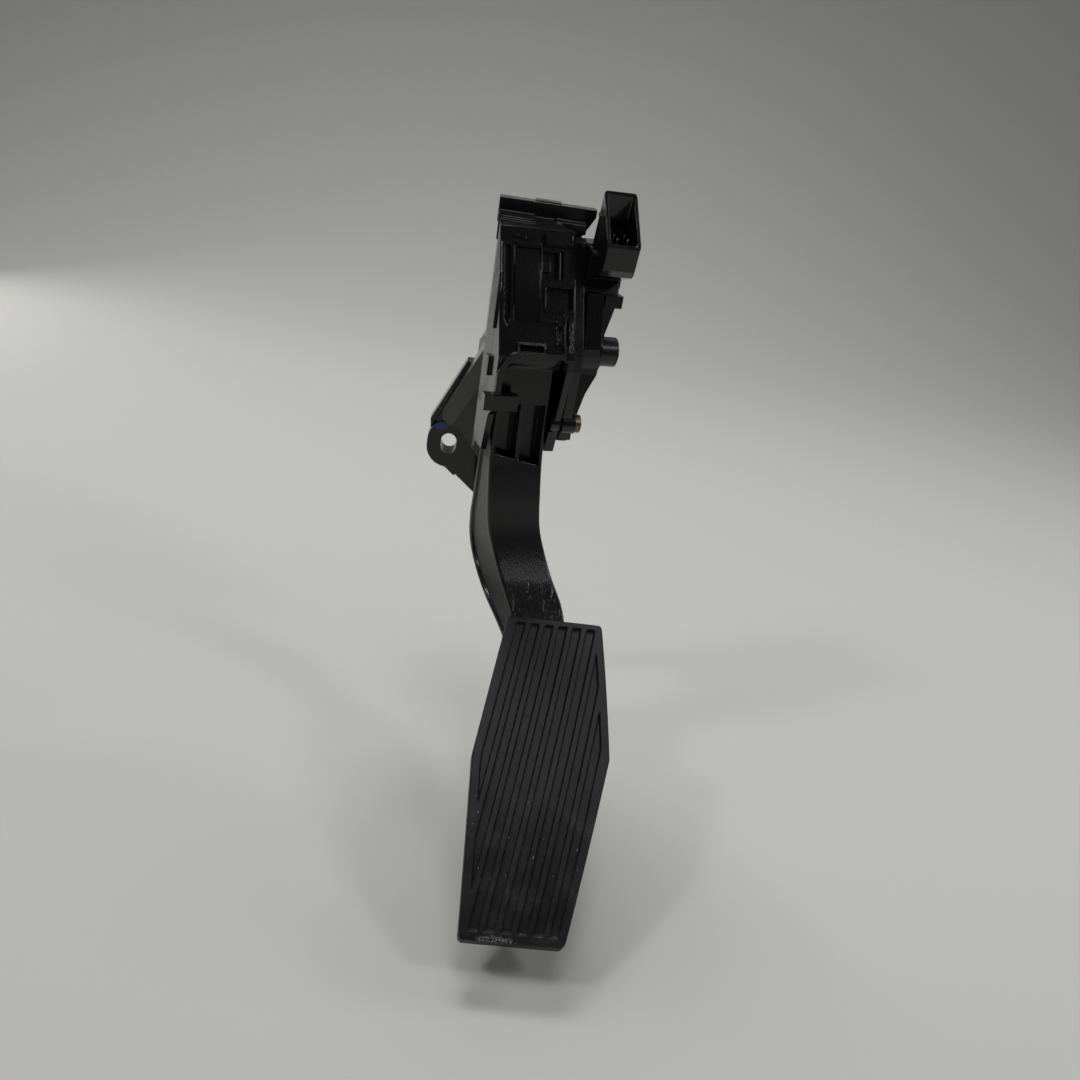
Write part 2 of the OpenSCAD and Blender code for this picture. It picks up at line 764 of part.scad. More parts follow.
// Prism over the pad's outline, moved inwards
module pad_prism(in) {
    translate([0, 0, -60]) linear_extrude(90) polygon(inset(pad_outline, in));
}

// The room that the pad fills above the carrier
module pad_room() {
    pad_frame() {
        difference() {
            span([-60, -pad_l - 20, -60], [60, hinge_clear, 80]);
            crown(crown_r - tread_t - seat_gap);
        }
        // Slot for the pad's skirt
        difference() {
            pad_prism(-hinge_clear);
            pad_prism(skirt_wall + seat_gap);
            crown(crown_r - skirt_h - seat_gap);
        }
    }
}

// Curved plate under the tread that the pad wraps round
module pad_carrier() {
    pad_frame() intersection() {
        pad_prism(skirt_wall + seat_gap);
        difference() {
            crown(crown_r - tread_t - seat_gap);
            crown(crown_r - skirt_h);
        }
    }
}

module arm_channel() {
    top = -22;
    left_end = -43;
    right_end = -48.5;
    for (side = [[-arm_w / 2 + rim_t, -rim_t / 2], [rim_t / 2, arm_w / 2 - rim_t]])
        intersection() {
            along_y(-30, 30) polygon([[side[0], top], [side[0], left_end - (side[0] + arm_w / 2) * 0.24],
                                      [side[1], left_end - (side[1] + arm_w / 2) * 0.24], [side[1], top]]);
            along_x(-40, 40) difference() {
                polygon([[-30, 0], [-30, -70], [30, -70], [30, 0]]);
                translate([channel_depth, 0]) polygon(concat([[60, 0]], arm_front, [[60, -105]]));
            }
        }
}

module pedal_arm() {
    color(arm_black) difference() {
        union() {
            body_frame() {
                arm_beam();
                x_cylinder(hub_r, collar_end + side_clear, inner_right - side_clear);
                // Tail that carries the springs
                along_x(tail_left, tail_right)
                    polygon([[0, tail_top], [tail_l, tail_top], [tail_l, -tail_top + 1.5],
                             [tail_l - 3, -tail_top], [6, -tail_top - 3], [0, -tail_top - 4]]);
            }
            pad_carrier();
        }
        body_frame() {
            x_cylinder(shaft_r + seat_gap / 2, -60, 60);
            // Room for the left bearing collar
            x_cylinder(bush_r + 2 + side_clear, -60, collar_end + side_clear);
            arm_channel();
        }
        pad_room();
    }
    // Ribs under the pad
    color(arm_black) pad_ribs();
}

// Upright ribs that stiffen the carrier behind the pad
module pad_ribs() {
    intersection() {
        pad_frame() for (x = [-14, -5, 4, 13])
            translate([x, 0, 0]) rotate([0, 0, -groove_lean])
                span([-0.9, -pad_l, -34], [0.9, 0, 20]);
        pad_frame() intersection() {
            pad_prism(skirt_wall + 3);
            crown(crown_r - skirt_h + 1);
        }
        pad_frame() along_x(-60, 60)
            polygon([[-2, 20], [-pad_l, 20], [-pad_l, -skirt_h - 2.5], [-0.35 * pad_l, -skirt_h - 13],
                     [-2, -skirt_h - 13]]);
    }
}

// Pad

module grooves() {
    first = 10.55 - (groove_count - 3) * groove_pitch;
    intersection() {
        pad_prism(groove_border);
        difference() {
            for (i = [0 : groove_count - 1])
                translate([first + i * groove_pitch, -pad_l / 2, 0]) rotate([0, 0, -groove_lean])
                    span([-groove_w / 2, -pad_l, -5], [groove_w / 2, pad_l, 20]);
            crown(crown_r - groove_depth);
        }
    }
}

module pad_cover() {
    color(pad_black) pad_frame() difference() {
        intersection() {
            pad_prism(0);
            difference() {
                crown(crown_r);
                crown(crown_r - skirt_h);
            }
        }
        grooves();
        // Room for the carrier
        intersection() {
            pad_prism(skirt_wall);
            crown(crown_r - tread_t);
        }
    }
}

// Springs and friction parts

// Height of a coil's centre line, with one closed turn at each end
function coil_height(t, turns, wire, h) =
    let (closed = wire * 1.02, open = h - wire - 2 * closed)
    t < 1 ? t * closed : t > turns + 1 ? closed + open + (t - turns - 1) * closed
          : closed + open * (t - 1) / turns;

module coil_spring(mean_d, wire, turns, h) {
    per_turn = 18;
    sides = 8;
    rings = round((turns + 2) * per_turn);
    points = [for (i = [0 : rings], s = [0 : sides - 1])
        let (t = (turns + 2) * i / rings, a = 360 * t, b = 360 * s / sides,
             r = mean_d / 2 + wire / 2 * cos(b))
        [r * cos(a), r * sin(a), wire / 2 + coil_height(t, turns, wire, h) + wire / 2 * sin(b)]];
    skin = [for (i = [0 : rings - 1], s = [0 : sides - 1], half = [0, 1])
        let (a = i * sides + s, b = i * sides + (s + 1) % sides)
        half == 0 ? [a, a + sides, b] : [b, a + sides, b + sides]];
    ends = [[for (s = [0 : sides - 1]) s], [for (s = [sides - 1 : -1 : 0]) rings * sides + s]];
    polyhedron(points, concat(skin, ends));
}

module outer_spring() {
    color(steel_grey) body_frame() translate([spring_x, spring_back, spring_base])
        coil_spring(outer_coil_d, outer_wire_d, outer_turns, spring_height);
}

module inner_spring() {
    color(steel_grey) body_frame() translate([spring_x, spring_back, spring_base])
        coil_spring(inner_coil_d, inner_wire_d, inner_turns, spring_height);
}

// Lower seat of both springs, on the arm's tail
module spring_seat() {
    color(cover_black) body_frame() translate([spring_x, spring_back, tail_top]) {
        cylinder(d = outer_coil_d + outer_wire_d + 0.6, h = seat_t - seat_gap);
        cylinder(d = inner_coil_d - inner_wire_d - 0.8, h = seat_t + 4);
    }
}

// Upper seat of both springs, under the roof of the housing
module spring_cap() {
    color(cover_black) body_frame() translate([spring_x, spring_back, roof - cap_t]) {
        translate([0, 0, seat_gap]) cylinder(d = outer_coil_d + outer_wire_d + 0.6, h = cap_t - seat_gap);
        translate([0, 0, -3.4]) cylinder(d = inner_coil_d - inner_wire_d - 0.8, h = cap_t + 3.4);
    }
}

// Shoe on the end of the tail that rubs on the drum wall
module friction_shoe() {
    color(steel_grey) body_frame() intersection() {
        along_x(tail_left + 0.5, tail_right - 0.5) difference() {
            circle(r = drum_r - hinge_clear, $fn = 96);
            polygon([[-60, -60], [tail_l + seat_gap, -60], [tail_l + seat_gap, 60], [-60, 60]]);
        }
        span([-30, 0, -tail_top - 2], [30, 60, tail_top + 2]);
    }
}

// Rubber stops

module idle_stop() {
    color(pad_black) body_frame()
        span([-10.4, -12.6 + seat_gap, -22], [-6, arm_front[0][0] - hinge_clear, -17]);
}

module full_stop() {
    color(pad_black) body_frame()
        span([-stop_half, stop_face, -stop_low],
             [stop_half, stop_face + stop_t - seat_gap, -stop_low + stop_h]);
}

// Sensor cover

// Front line of the cover at a height (back)
function cover_front_at(z) = cover_side[1][0]
    + (z - cover_side[1][1]) * (cover_side[0][0] - cover_side[1][0]) / (cover_side[0][1] - cover_side[1][1]);

// Bent terminal pins, in two columns and three rows; the front row runs lowest
module pins(grow) {
    r = pin_t / 2 + grow;
    for (col = [0, 1], row = [0 : 2])
        let (x = socket_at[0] + (col - 0.5) * pin_across, v = (row - 1) * pin_pitch,
             low = pin_foot - (2 - row) * pin_level,
             drop = (socket_floor + v * sin(tower_lean) - low) / cos(tower_lean),
             y = socket_at[1] + v * cos(tower_lean) + drop * sin(tower_lean),
             back = foot_back + 2.4 * col) {
            connector_frame() translate([x - socket_at[0], v, 0])
                span([-r - grow / 3, -r, -drop], [r + grow / 3, r, pin_up]);
            span([x - r, y - r, low - r], [x + r, back + r, low + r]);
            span([board_x + board_t - 1, back - r, low - r], [x + r, back + r, low + r]);
        }
}

// Holes of the pins in the board
module pin_holes() {
    for (col = [0, 1], row = [0 : 2])
        x_cylinder(pin_t / 2 + 0.2, 0, 60, [foot_back + 2.4 * col, pin_foot - (2 - row) * pin_level]);
}

// Outline of a rectangle with rounded corners
function rounded(half_w, half_d, r) = [
    for (k = [0 : 3], a = [0 : 15 : 90])
        let (sx = (k == 0 || k == 3) ? 1 : -1, sy = k < 2 ? 1 : -1)
        [sx * (half_w - r) + r * cos(a + 90 * k), sy * (half_d - r) + r * sin(a + 90 * k)]];

// Upright prism with rounded corners along the tower's axis
module tower_prism(half_w, half_d, r, low, high) {
    connector_frame() translate([0, 0, low]) linear_extrude(high - low) polygon(rounded(half_w, half_d, r));
}

// Side view of the tower with its slanted mouth and its neck (back, up)
module tower_side() {
    front = socket_at[1] - tower_d / 2;
    rear = socket_at[1] + tower_d / 2;
    lean = tan(tower_lean);
    polygon([[front - lean * (lip_low - socket_floor), lip_low], [front + lean * 6, socket_floor - 6],
             [-8.9, 32.6], [1.5, 29.5], [3, 24.5], [rear + 40, 24.5], [rear + 40, 42], [rear, 42],
             [rear - lean * (lip_high - socket_floor), lip_high]]);
}

module shroud() {
    intersection() {
        along_x(0, 60) tower_side();
        tower_prism(mouth_w / 2, tower_d / 2, tower_r, -30, 40);
    }
    // Catch loop and key on the left side
    connector_frame() {
        span([-mouth_w / 2 - 1, 2.2, 3], [-mouth_w / 2 + eps, 3.4, 13]);
        span([-mouth_w / 2 - 1, 3.4 - eps, 11.8], [-mouth_w / 2 + eps, 6.4, 13]);
        span([-mouth_w / 2 - 1.3, 1, -3], [-mouth_w / 2 + eps, 6, -1.6]);
    }
}

module sensor_cover() {
    color(cover_black) intersection() {
        span([-big, -big, -big], [big, -plate_t - hinge_clear, big]);
        body_frame() cover_moulding();
    }
}

module cover_moulding() {
    difference() {
        union() {
            // Flange on the housing, then the narrower body
            intersection() {
                union() {
                    along_x(cover_in, flange_x) polygon(cover_side);
                    along_x(cover_in, 60) polygon(cover_body);
                }
                along_y(-60, 80) polygon(cover_front);
            }
            shroud();
            // Neck between the tower and the board room
            span([22.2, 1.6, 26], [socket_at[0] + mouth_w / 2, 15, socket_floor]);
            // Boss round the shaft, and the raised panel that runs down to it
            x_cylinder(boss_r, cover_in, boss_face);
            along_x(panel_left, panel_right)
                polygon([[cover_front_at(24.4) - 0.9, 24.4], [-boss_r, 3], [-boss_r, 0], [0, 0], [2, 24.4]]);
            // Small catch on the right
            span([30, -3.5, 19], [37.6, 1.5, 24]);
            // Bosses for the screws
            for (spot = screw_spots)
                x_cylinder(screw_head_d / 2 + 0.5, cover_in, head_x, spot);
        }
        // Room for rotor, board and chips, with posts that hold the board
        difference() {
            along_x(cover_in - 1, cover_step) polygon(room_side);
            for (spot = board_posts)
                x_cylinder(1.6, board_x + board_t + seat_gap, cover_step + 1, spot);
        }
        x_cylinder(rotor_r + 0.8, cover_in - 1, rotor_x + rotor_t + 0.2);
        x_cylinder(shaft_r + 2.6, cover_in - 1, board_x);
        // Socket, and room for the bent pins in the neck
        tower_prism(mouth_w / 2 - shroud_wall, tower_d / 2 - shroud_wall, 1, 0, 40);
        span([cover_step - 1, 6, pin_foot - 5.4], [34, 13, pin_foot + 1.6]);
        x_cylinder(stub_r + run_clear, 10, 60);
        for (spot = screw_spots)
            x_cylinder(screw_d / 2 + 0.2, 10, 60, spot);
        for (spot = screw_spots)
            x_cylinder(screw_head_d / 2 + 0.3, head_x, 60, spot);
        pins(0.03);
    }
}

module cover_gasket() {
    color(pad_black) difference() {
        body_frame() along_x(housing_right, cover_in) difference() {
            polygon(inset(cover_side, 0.8));
            polygon(inset(cover_side, 3));
        }
        span([-big, -plate_t - hinge_clear, -big], [big, big, big]);
        body_frame() for (spot = screw_spots)
            x_cylinder(screw_d / 2 + 0.6, 0, 40, spot);
    }
}

module cover_screws() {
    color(brass_yellow) body_frame() for (spot = screw_spots) {
        x_cylinder(screw_d / 2, lever_right + 1.4, head_x + 0.8, spot);
        difference() {
            x_cylinder(screw_head_d / 2, head_x + seat_gap, head_x + 2.4, spot);
            x_cylinder(1.4, head_x + 1, head_x + 4, spot, $fn = 6);
        }
    }
}

// Sensor

module circuit_board() {
    color(board_green) body_frame() difference() {
        along_x(board_x, board_x + board_t) polygon(inset(room_side, 0.8));
        x_cylinder(stub_r + 1.4, 0, 60);
        pin_holes();
    }
}

module sensor_chips() {
    color("#202124") body_frame() {
        span([board_x + board_t, 12, 14], [board_x + board_t + 1.2, 18, 20]);
        span([board_x + board_t, 20, -2], [board_x + board_t + 1.2, 26, 4]);
    }
}

module board_parts() {
    color(steel_grey) body_frame()
        for (y = [16, 18.5, 21])
            span([board_x + board_t, y, 8], [board_x + board_t + 0.9, y + 1.2, 10]);
}

module terminal_pins() {
    color(brass_yellow) body_frame() pins(0);
}

module rotor_disc() {
    color(cover_black) body_frame() difference() {
        union() {
            x_cylinder(rotor_r, rotor_x, rotor_x + rotor_t);
            x_cylinder(shaft_r + 2.2, housing_right + 0.4, rotor_x + rotor_t);
        }
        x_cylinder(shaft_r + seat_gap / 2, 0, 60);
        // Seat of the metal loops
        rotor_ring(rotor_x + rotor_t - loop_t, rotor_x + rotor_t + 1, seat_gap);
    }
}

// Three-lobed ring on the face of the rotor
module rotor_ring(x0, x1, grow) {
    for (k = [0 : 2])
        rotate([k * 120, 0, 0]) along_x(x0, x1) difference() {
            translate([loop_at, 0]) circle(r = loop_r + grow);
            translate([loop_at, 0]) circle(r = loop_r - loop_wire - grow);
        }
}

module rotor_loops() {
    color(brass_yellow) body_frame() rotor_ring(rotor_x + rotor_t - loop_t + seat_gap, rotor_x + rotor_t, 0);
}

housing();
spring_cover();
sensor_cover();
cover_gasket();
cover_screws();
circuit_board();
sensor_chips();
terminal_pins();
rotor_disc();
rotor_loops();
pivot_shaft();
shaft_clip();
bush_left();
bush_right();
pedal_arm();
pad_cover();
outer_spring();
inner_spring();
spring_seat();
spring_cap();
friction_shoe();
idle_stop();
full_stop();
board_parts();
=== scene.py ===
import json
import math
import bpy
import mathutils
import numpy as np
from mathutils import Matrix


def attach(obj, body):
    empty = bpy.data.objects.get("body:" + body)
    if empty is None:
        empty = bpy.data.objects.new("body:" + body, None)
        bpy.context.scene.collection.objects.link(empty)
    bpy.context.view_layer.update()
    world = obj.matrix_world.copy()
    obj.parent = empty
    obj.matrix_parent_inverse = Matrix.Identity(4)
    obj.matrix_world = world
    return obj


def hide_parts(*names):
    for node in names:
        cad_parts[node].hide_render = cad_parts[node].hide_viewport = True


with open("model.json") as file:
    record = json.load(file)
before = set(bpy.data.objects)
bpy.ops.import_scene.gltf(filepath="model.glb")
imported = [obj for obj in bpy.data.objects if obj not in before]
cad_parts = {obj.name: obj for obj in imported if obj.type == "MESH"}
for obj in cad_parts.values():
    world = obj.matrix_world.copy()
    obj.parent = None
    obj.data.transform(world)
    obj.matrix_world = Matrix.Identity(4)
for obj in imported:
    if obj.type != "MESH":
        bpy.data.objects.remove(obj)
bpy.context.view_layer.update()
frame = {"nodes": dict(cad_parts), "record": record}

MM = 0.001
# The pedal body stands turned from the mounting plate, about the pivot (mm)
TURN = math.radians(15)
PIVOT = (-3.3, -45.5, 0.0)

# Materials

BLACK = (0.0048, 0.0048, 0.0054)
DUST = (0.16, 0.15, 0.14)
PAD_DUST = (0.10, 0.10, 0.095)
# Painted highlight: the pale colour of the pad's painted glints
PAINTED_GLINT = (0.4, 0.4, 0.38)
SCRATCHED = (0.1, 0.1, 0.1)
BLUE_PAINT = (0.008, 0.035, 0.17)
BEVEL_SAMPLES = 6
METAL_EDGE = 0.0002


def new_material(name):
    """A new material, its node tree and its shader."""
    m = bpy.data.materials.new(name)
    m.use_nodes = True
    return m, m.node_tree, m.node_tree.nodes["Principled BSDF"]


def fed_by(bsdf, name):
    """The socket that now feeds an input of the shader."""
    return bsdf.inputs[name].links[0].from_socket


def coords(nt, name):
    """A named output of a new texture coordinate node."""
    return nt.nodes.new("ShaderNodeTexCoord").outputs[name]


def math_node(nt, operation, *values):
    """A math node on values or sockets."""
    n = nt.nodes.new("ShaderNodeMath")
    n.operation = operation
    for k, v in enumerate(values):
        if isinstance(v, (int, float)):
            n.inputs[k].default_value = v
        else:
            nt.links.new(v, n.inputs[k])
    return n.outputs[0]


def times(nt, a, b):
    """The product of two values or sockets."""
    return math_node(nt, "MULTIPLY", a, b)


def vector_node(nt, operation, vector, value=None):
    """A vector math node on a socket and, where given, a fixed vector."""
    n = nt.nodes.new("ShaderNodeVectorMath")
    n.operation = operation
    nt.links.new(vector, n.inputs[0])
    if value is not None:
        n.inputs[1].default_value = value
    return n


def split(nt, vector):
    """The three parts of a vector."""
    n = nt.nodes.new("ShaderNodeSeparateXYZ")
    nt.links.new(vector, n.inputs[0])
    return n.outputs


def noise(nt, vector, scale, detail=2.0, rough=0.5, seed=0.0):
    """Noise on the given coordinates, shifted by a seed."""
    shift = (seed * 1.37, seed * 2.11, seed * 0.73)
    n = nt.nodes.new("ShaderNodeTexNoise")
    n.inputs["Scale"].default_value = scale
    n.inputs["Detail"].default_value = detail
    n.inputs["Roughness"].default_value = rough
    nt.links.new(vector_node(nt, "ADD", vector, shift).outputs[0], n.inputs["Vector"])
    return n.outputs["Fac"]


def ramp(nt, fac, low, high):
    """Maps low..high of a value to 0..1, held at the ends."""
    n = nt.nodes.new("ShaderNodeMapRange")
    n.clamp = True
    n.inputs["From Min"].default_value = low
    n.inputs["From Max"].default_value = high
    nt.links.new(fac, n.inputs["Value"])
    return n.outputs["Result"]


def mix(nt, fac, a, b):
    """Colour mix: a at 0 and b at 1, each a colour or a socket."""
    n = nt.nodes.new("ShaderNodeMix")
    n.data_type = "RGBA"
    nt.links.new(fac, n.inputs[0])
    for k, v in ((6, a), (7, b)):
        if hasattr(v, "links"):
            nt.links.new(v, n.inputs[k])
        else:
            n.inputs[k].default_value = (*v, 1.0)
    return n.outputs[2]


def bump(nt, height, distance, strength, normal):
    """A bump node over a normal."""
    n = nt.nodes.new("ShaderNodeBump")
    n.inputs["Distance"].default_value = distance
    n.inputs["Strength"].default_value = strength
    nt.links.new(height, n.inputs["Height"])
    nt.links.new(normal, n.inputs["Normal"])
    return n.outputs["Normal"]


def bevel(nt, radius):
    """Rounded edges in the shading only."""
    n = nt.nodes.new("ShaderNodeBevel")
    n.samples = BEVEL_SAMPLES
    n.inputs["Radius"].default_value = radius
    return n.outputs["Normal"]


def plastic(name, colour, rough, edge, grain=0.0, speck=0.0, dust=0.0, spec=0.5, coat=0.0):
    """Moulded plastic or rubber, with rounded edges and a slight wave in the shading.

    Roughness is rough - 0.05 and a tenth of a slow noise, and speck times a fine one.
    The colour goes from 0.8 to 1.25 of itself with the fine noise.
    Dust covers by how far a face looks up, times a patchy noise, times dust.
    """
    m, nt, bsdf = new_material(name)
    obj = coords(nt, "Object")
    slow = noise(nt, obj, 60.0, detail=3.0, rough=0.55, seed=1.0)
    fine = noise(nt, obj, 900.0, seed=2.0)
    normal = bevel(nt, edge)
    if grain:
        grains = noise(nt, obj, 2500.0, detail=1.0, rough=0.4, seed=3.0)
        normal = bump(nt, grains, grain, 1.0, normal)
    normal = bump(nt, slow, 0.00005, 0.4, normal)
    nt.links.new(normal, bsdf.inputs["Normal"])
    gloss = math_node(nt, "ADD", rough - 0.05, times(nt, slow, 0.1))
    if speck:
        gloss = math_node(nt, "ADD", gloss, times(nt, ramp(nt, fine, 0.42, 0.62), speck))
    nt.links.new(gloss, bsdf.inputs["Roughness"])
    dark, light = [c * 0.8 for c in colour], [c * 1.25 for c in colour]
    col = mix(nt, ramp(nt, fine, 0.3, 0.75), dark, light)
    if dust:
        geo = nt.nodes.new("ShaderNodeNewGeometry")
        up = ramp(nt, split(nt, geo.outputs["Normal"])["Z"], 0.1, 0.9)
        patch = ramp(nt, noise(nt, obj, 140.0, detail=4.0, rough=0.65, seed=5.0), 0.45, 0.72)
        col = mix(nt, times(nt, times(nt, up, patch), dust), col, DUST)
    nt.links.new(col, bsdf.inputs["Base Color"])
    bsdf.inputs["Specular IOR Level"].default_value = spec
    bsdf.inputs["Coat Weight"].default_value = coat
    bsdf.inputs["Coat Roughness"].default_value = 0.06
    return m


def metal(name, colour, rough):
    """Plated steel, tin or copper.

    A noise takes the roughness from rough - 0.06 to rough + 0.08, and the colour from 0.7 of
    itself to the whole.
    """
    m, nt, bsdf = new_material(name)
    bsdf.inputs["Metallic"].default_value = 1.0
    tarnish = noise(nt, coords(nt, "Object"), 500.0, detail=3.0, rough=0.6, seed=1.0)
    gloss = math_node(nt, "ADD", rough - 0.06, times(nt, tarnish, 0.14))
    nt.links.new(gloss, bsdf.inputs["Roughness"])
    nt.links.new(mix(nt, tarnish, [c * 0.7 for c in colour], colour), bsdf.inputs["Base Color"])
    nt.links.new(bevel(nt, METAL_EDGE), bsdf.inputs["Normal"])
    return m


def body_coords(nt):
    """Object coordinates less the pivot, turned back by TURN: the pedal body's own, in metres."""
    r = nt.nodes.new("ShaderNodeVectorRotate")
    r.rotation_type = "Z_AXIS"
    r.inputs["Angle"].default_value = -TURN
    offset = vector_node(nt, "SUBTRACT", coords(nt, "Object"), [v * MM for v in PIVOT])
    nt.links.new(offset.outputs[0], r.inputs["Vector"])
    return r.outputs[0]


def box_mask(nt, vector, low, high, soft=0.0006):
    """One inside a box given in millimetres, zero outside: the product of a ramp at each side."""
    axes = split(nt, vector)
    out = None
    for k in range(3):
        for edge, sign in ((low[k] * MM, 1), (high[k] * MM, -1)):
            side = ramp(nt, axes[k], edge - sign * soft, edge + sign * soft)
            out = side if out is None else times(nt, out, side)
    return out


def blob_mask(nt, vector, centre, radii, seed):
    """A ragged blob, in millimetres.

    It is one where the distance from the centre, in radii, plus a noise from -0.55 to 0.55
    is under 0.8, and zero where that is over 1.
    """
    offset = vector_node(nt, "SUBTRACT", vector, [v * MM for v in centre]).outputs[0]
    scaled = vector_node(nt, "DIVIDE", offset, [v * MM for v in radii]).outputs[0]
    away = vector_node(nt, "LENGTH", scaled).outputs["Value"]
    uneven = noise(nt, vector, 420.0, detail=3.0, rough=0.6, seed=seed)
    ragged = math_node(nt, "MULTIPLY_ADD", uneven, 1.1, -0.55)
    return ramp(nt, math_node(nt, "ADD", away, ragged), 1.0, 0.8)


# Low and high corner of each grainy patch of the housing, in the body's millimetres
GRAINY = (((7.9, -30, 5), (10.8, 30, 12)), ((13.6, -30, 2.4), (18.5, 30, 13)),
          ((-8, -30, 1), (3.4, -10, 5)), ((-17.2, -6, -24), (-15.2, 60, 40)))


def finish_housing(m):
    """Coarse cells in relief where one of the grainy boxes is, and a dab of paint by the slot."""
    nt = m.node_tree
    bsdf = nt.nodes["Principled BSDF"]
    body = body_coords(nt)
    obj = coords(nt, "Object")
    coarse = None
    for low, high in GRAINY:
        patch = box_mask(nt, body, low, high)
        coarse = patch if coarse is None else math_node(nt, "MAXIMUM", coarse, patch)
    cell = nt.nodes.new("ShaderNodeTexVoronoi")
    cell.inputs["Scale"].default_value = 1150.0
    nt.links.new(obj, cell.inputs["Vector"])
    height = times(nt, cell.outputs["Distance"], coarse)
    nt.links.new(bump(nt, height, 0.0006, 1.0, fed_by(bsdf, "Normal")), bsdf.inputs["Normal"])
    dab = blob_mask(nt, obj, centre=(-34.1, -11, -50.9), radii=(3.5, 5, 1.8), seed=4.0)
    nt.links.new(mix(nt, dab, fed_by(bsdf, "Base Color"), BLUE_PAINT), bsdf.inputs["Base Color"])


def finish_arm(m):
    """Grainy front below the channel, satin left side, and faint scratches above the pad.

    The roughness grows by 0.22 on faces that look to the body's left, or by 0.16 on the front.
    Scratches are a noise stretched along one slanted way, times patches, times a box.
    """
    nt = m.node_tree
    bsdf = nt.nodes["Principled BSDF"]
    body = body_coords(nt)
    obj = coords(nt, "Object")
    front = box_mask(nt, body, (-9.5, -60, -96), (30, -9.5, -50), soft=0.002)
    pits = ramp(nt, noise(nt, obj, 1300.0, rough=0.55, seed=9.0), 0.35, 0.65)
    facing = nt.nodes.new("ShaderNodeNewGeometry").outputs["Normal"]
    body_left = (-math.cos(TURN), -math.sin(TURN), 0)
    leftward = vector_node(nt, "DOT_PRODUCT", facing, body_left).outputs["Value"]
    satin = times(nt, ramp(nt, leftward, 0.6, 0.8), 0.22)
    matt = math_node(nt, "MAXIMUM", satin, times(nt, front, 0.16))
    gloss = math_node(nt, "ADD", fed_by(bsdf, "Roughness"), matt)
    nt.links.new(gloss, bsdf.inputs["Roughness"])
    normal = bump(nt, times(nt, pits, front), 0.00009, 0.7, fed_by(bsdf, "Normal"))
    lower = box_mask(nt, body, (-30, -90, -122), (40, -14, -88), soft=0.003)
    stretch = nt.nodes.new("ShaderNodeMapping")
    stretch.inputs["Rotation"].default_value = (0.2, 0.5, 0.4)
    stretch.inputs["Scale"].default_value = (1.0, 0.12, 0.22)
    nt.links.new(obj, stretch.inputs["Vector"])
    streaks = noise(nt, stretch.outputs[0], 1500.0, rough=0.6, seed=6.0)
    patch = ramp(nt, noise(nt, obj, 110.0, seed=8.0), 0.42, 0.6)
    scratch = times(nt, times(nt, ramp(nt, streaks, 0.62, 0.72), patch), lower)
    nt.links.new(bump(nt, scratch, 0.00012, 0.7, normal), bsdf.inputs["Normal"])
    col = mix(nt, times(nt, scratch, 0.35), fed_by(bsdf, "Base Color"), SCRATCHED)
    nt.links.new(col, bsdf.inputs["Base Color"])


def dust_and_glints_on_pad(m):
    """Dust over the lower pad, with painted highlights: small pale glints in it, and a painted
    glint at its lower left edge.

    Dust is the lower part, times a cloud, times a fine noise plus 0.4. The small glints are the
    peaks of a noise in the same part. The edge glint is a blob broken up by the fine noise.
    """
    nt = m.node_tree
    bsdf = nt.nodes["Principled BSDF"]
    obj = coords(nt, "Object")
    low = ramp(nt, split(nt, obj)["Z"], -0.122, -0.15)
    cloud = ramp(nt, noise(nt, obj, 90.0, detail=5.0, rough=0.62, seed=5.0), 0.4, 0.75)
    fine = ramp(nt, noise(nt, obj, 1700.0, rough=0.6, seed=7.0), 0.45, 0.75)
    dust = times(nt, times(nt, low, cloud), math_node(nt, "ADD", fine, 0.4))
    col = mix(nt, times(nt, dust, 0.30), fed_by(bsdf, "Base Color"), PAD_DUST)
    # Painted highlights: small pale glints over the lower pad, put into the colour
    glint_peak = ramp(nt, noise(nt, obj, 620.0, detail=1.0, rough=0.4, seed=12.0), 0.77, 0.8)
    # Painted highlight: a pale glint at the pad's lower left edge, broken up by the fine noise
    edge_glint = blob_mask(nt, obj, centre=(9.5, -187.2, -178.8), radii=(7, 2.5, 1.5), seed=3.0)
    peak_glints = times(nt, times(nt, glint_peak, low), 0.4)
    pale = math_node(nt, "MAXIMUM", peak_glints, times(nt, edge_glint, fine))
    nt.links.new(mix(nt, pale, col, PAINTED_GLINT), bsdf.inputs["Base Color"])


MOULDED = {"speck": 0.04, "spec": 0.36}
MATS = {
    "housing_plastic": plastic("housing plastic", BLACK, 0.14, 0.0005,
                               dust=0.03, coat=0.3, **MOULDED),
    "cover_plastic": plastic("cover plastic", BLACK, 0.16, 0.0005,
                             dust=0.04, coat=0.25, **MOULDED),
    "arm_plastic": plastic("arm plastic", BLACK, 0.18, 0.0006,
                           dust=0.03, coat=0.2, **MOULDED),
    "pad_rubber": plastic("pad rubber", (0.0045, 0.0045, 0.0048), 0.5, 0.0004,
                          grain=0.00002, speck=0.08, spec=0.3),
    "seal_rubber": plastic("seal rubber", (0.012, 0.012, 0.012), 0.6, 0.0003),
    "shaft_plastic": plastic("shaft plastic", (0.007, 0.007, 0.0075), 0.28, 0.0003),
    "bush_plastic": plastic("bush plastic", (0.34, 0.33, 0.31), 0.5, 0.0002),
    "inner_plastic": plastic("inner plastic", (0.03, 0.03, 0.032), 0.5, 0.0002),
    "board": plastic("board mask", (0.02, 0.09, 0.05), 0.4, 0.0001),
    "chip": plastic("chip body", (0.02, 0.02, 0.02), 0.5, 0.0001),
    "screw_steel": metal("passivated screw", (0.2, 0.165, 0.1), 0.36),
    "spring_steel": metal("spring steel", (0.5, 0.5, 0.52), 0.3),
    "tin": metal("tinned contact", (0.6, 0.6, 0.6), 0.28),
    "copper": metal("copper loop", (0.7, 0.4, 0.2), 0.3),
}
finish_housing(MATS["housing_plastic"])
finish_arm(MATS["arm_plastic"])
